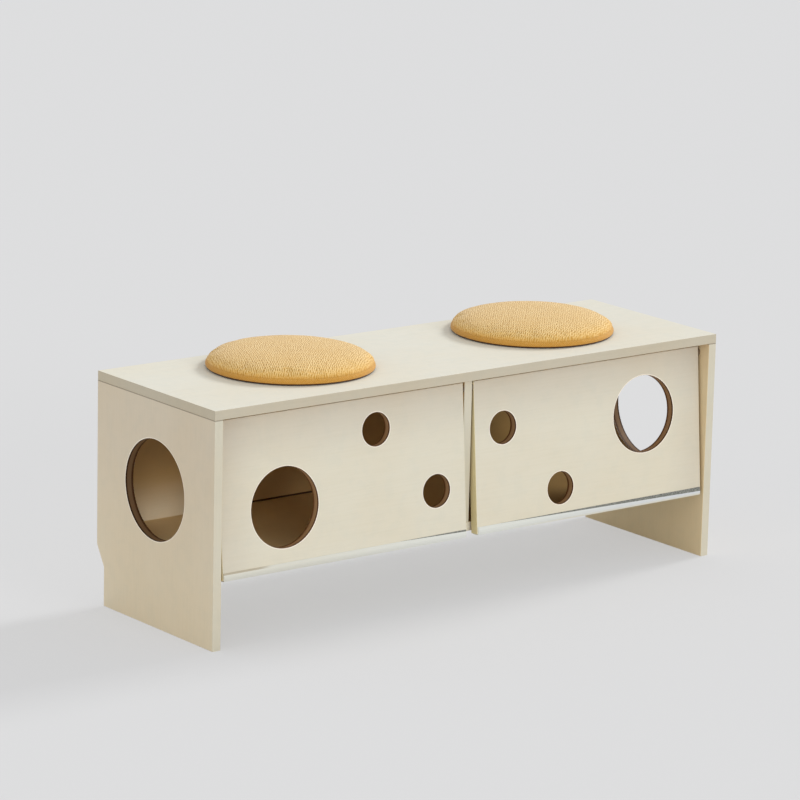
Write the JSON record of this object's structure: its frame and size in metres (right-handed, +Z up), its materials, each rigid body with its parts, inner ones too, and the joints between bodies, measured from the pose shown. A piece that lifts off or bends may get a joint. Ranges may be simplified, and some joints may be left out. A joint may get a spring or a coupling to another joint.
{
  "type": "cat house bench",
  "caption": "Low painted wooden bench with cat compartments, round holes in its side panels and leaning lift-up doors, and loose round cushions.",
  "frame": {"origin": "on the floor, under the middle of the bench", "axes": "+X along the bench to the right seen from the front, +Y from the doors to the back panel, +Z up"},
  "size_m": [1.2, 0.38, 0.4933],
  "materials": {
    "carcass_paint": "satin",
    "door_paint": "satin",
    "pull_aluminium": "satin",
    "pin_steel": "satin",
    "bush_nylon": "matte",
    "bumper_felt": "matte",
    "screw_steel": "satin",
    "cam_zinc": "satin",
    "dowel_beech": "matte",
    "cushion_fabric": "matte"
  },
  "bodies": {
    "carcass": {"top_panel": "carcass_paint", "left_side_panel": "carcass_paint", "right_side_panel": "carcass_paint", "bottom_panel": "carcass_paint", "back_panel": "carcass_paint", "centre_divider": "carcass_paint", "left_outer_bush": "bush_nylon", "left_inner_bush": "bush_nylon", "right_outer_bush": "bush_nylon", "right_inner_bush": "bush_nylon", "door_bumpers": "bumper_felt", "top_dowels": "dowel_beech", "bottom_dowels": "dowel_beech", "back_dowels": "dowel_beech", "divider_dowels": "dowel_beech", "top_cam_bolts": "cam_zinc", "bottom_cam_bolts": "cam_zinc", "top_cam_discs": "cam_zinc", "bottom_cam_discs": "cam_zinc", "back_panel_screws": "screw_steel", "divider_screws": "screw_steel"},
    "left_door": {"left_door": "door_paint", "left_door_outer_pin": "pin_steel", "left_door_inner_pin": "pin_steel", "left_edge_pull": "pull_aluminium", "left_pull_screws": "screw_steel"},
    "right_door": {"right_door": "door_paint", "right_door_outer_pin": "pin_steel", "right_door_inner_pin": "pin_steel", "right_edge_pull": "pull_aluminium", "right_pull_screws": "screw_steel"},
    "left_cushion": {"left_cushion": "cushion_fabric"},
    "right_cushion": {"right_cushion": "cushion_fabric"}
  },
  "joints": [
    {"name": "left_door_hinge", "type": "hinge", "parent": "carcass", "child": "left_door", "pos_m": [-0.2947, -0.1555, 0.4106], "axis": [-1, 0, 0], "range_deg": [0, 100]},
    {"name": "right_door_hinge", "type": "hinge", "parent": "carcass", "child": "right_door", "pos_m": [0.2947, -0.1555, 0.4106], "axis": [-1, 0, 0], "range_deg": [0, 100]},
    {"name": "left_cushion_lift", "type": "slide", "parent": "carcass", "child": "left_cushion", "axis": [0, 0, 1], "range_m": [0, 0.15]},
    {"name": "right_cushion_lift", "type": "slide", "parent": "carcass", "child": "right_cushion", "axis": [0, 0, 1], "range_m": [0, 0.15]}
  ]
}
